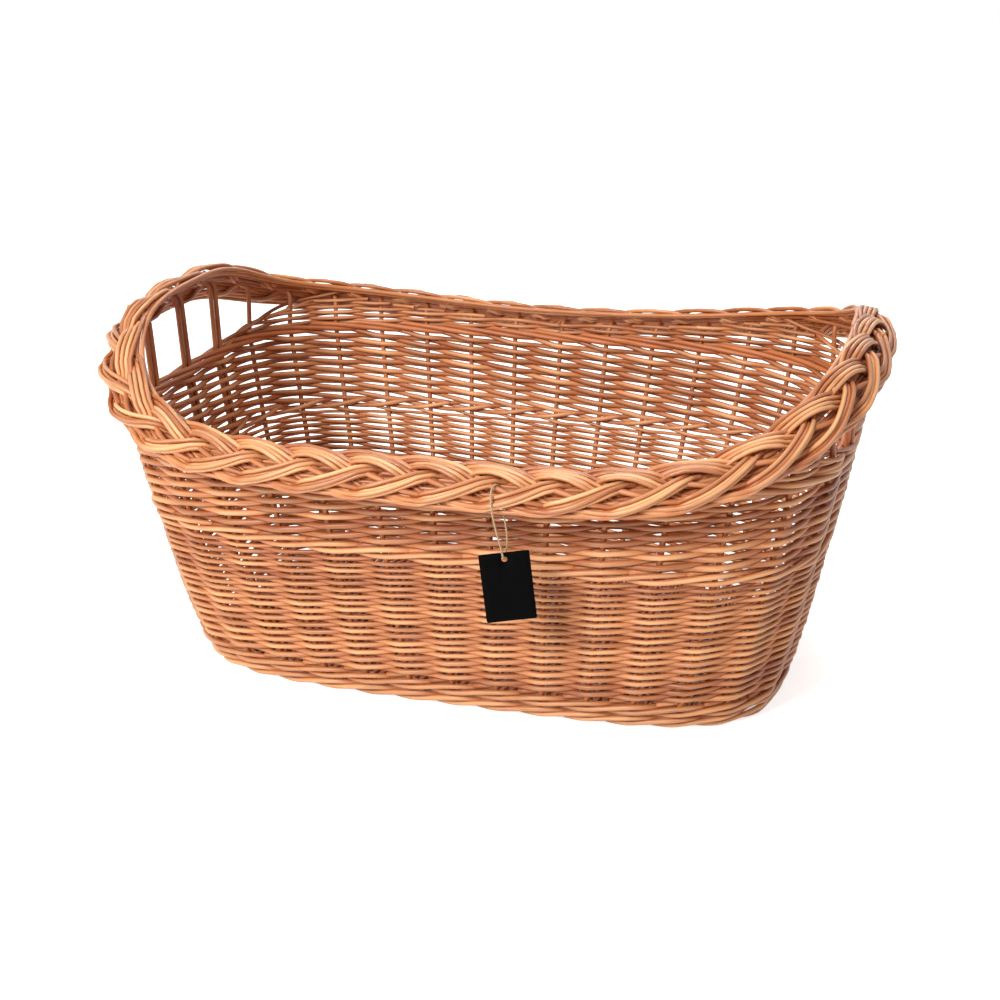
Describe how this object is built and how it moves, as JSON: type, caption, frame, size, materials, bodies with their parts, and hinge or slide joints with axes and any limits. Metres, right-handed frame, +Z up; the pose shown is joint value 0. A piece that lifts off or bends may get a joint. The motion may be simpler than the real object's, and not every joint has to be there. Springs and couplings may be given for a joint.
{
  "type": "laundry basket",
  "caption": "Oblong woven willow laundry basket with flared walls, a plaited border that rises over two open handles, and a blank card tag on a loop of twine.",
  "frame": {"origin": "on the ground under the middle of the basket", "axes": "+Z up, +X along the basket from handle to handle, +Y to the back; the tag hangs on the -Y side"},
  "size_m": [0.6654, 0.5106, 0.3167],
  "materials": {
    "willow_stakes": "peeled and boiled willow rods, satin, reddish tan",
    "willow_siding": "thin peeled and boiled willow rods, satin, reddish tan",
    "willow_wale": "peeled and boiled willow rods, satin, reddish tan",
    "willow_border": "peeled and boiled willow rods, satin, light tan with pale worn crowns",
    "willow_base": "peeled and boiled willow rods, satin, darker tan",
    "jute_twine": "two-ply natural jute twine, matt and slightly hairy",
    "black_card": "black paper card, smooth and nearly matt"
  },
  "bodies": {
    "basket": {"stake_01": "willow_stakes", "stake_02": "willow_stakes", "stake_03": "willow_stakes", "stake_04": "willow_stakes", "stake_05": "willow_stakes", "stake_06": "willow_stakes", "stake_07": "willow_stakes", "stake_08": "willow_stakes", "stake_09": "willow_stakes", "stake_10": "willow_stakes", "stake_11": "willow_stakes", "stake_12": "willow_stakes", "stake_13": "willow_stakes", "stake_14": "willow_stakes", "stake_15": "willow_stakes", "stake_16": "willow_stakes", "stake_17": "willow_stakes", "stake_18": "willow_stakes", "stake_19": "willow_stakes", "stake_20": "willow_stakes", "stake_21": "willow_stakes", "stake_22": "willow_stakes", "stake_23": "willow_stakes", "stake_24": "willow_stakes", "stake_25": "willow_stakes", "stake_26": "willow_stakes", "stake_27": "willow_stakes", "stake_28": "willow_stakes", "stake_29": "willow_stakes", "stake_30": "willow_stakes", "stake_31": "willow_stakes", "stake_32": "willow_stakes", "stake_33": "willow_stakes", "stake_34": "willow_stakes", "stake_35": "willow_stakes", "stake_36": "willow_stakes", "base_stick_1": "willow_base", "base_stick_2": "willow_base", "base_stick_3": "willow_base", "base_stick_4": "willow_base", "base_stick_5": "willow_base", "base_stick_6": "willow_base", "base_mat": "willow_base", "foot_wale": "willow_wale", "lower_siding": "willow_siding", "mid_wale": "willow_wale", "upper_siding": "willow_siding", "top_wale": "willow_wale", "plaited_border": "willow_border", "packing_front_right": "willow_siding", "packing_back_right": "willow_siding", "packing_back_left": "willow_siding", "packing_front_left": "willow_siding"},
    "tag": {"tag_card": "black_card", "tag_twine": "jute_twine"}
  },
  "joints": [
    {"name": "tag_swing", "type": "hinge", "parent": "basket", "child": "tag", "pos_m": [0.062, -0.24683, 0.23155], "axis": [-1, 0, 0], "range_deg": [-20, 75]}
  ]
}
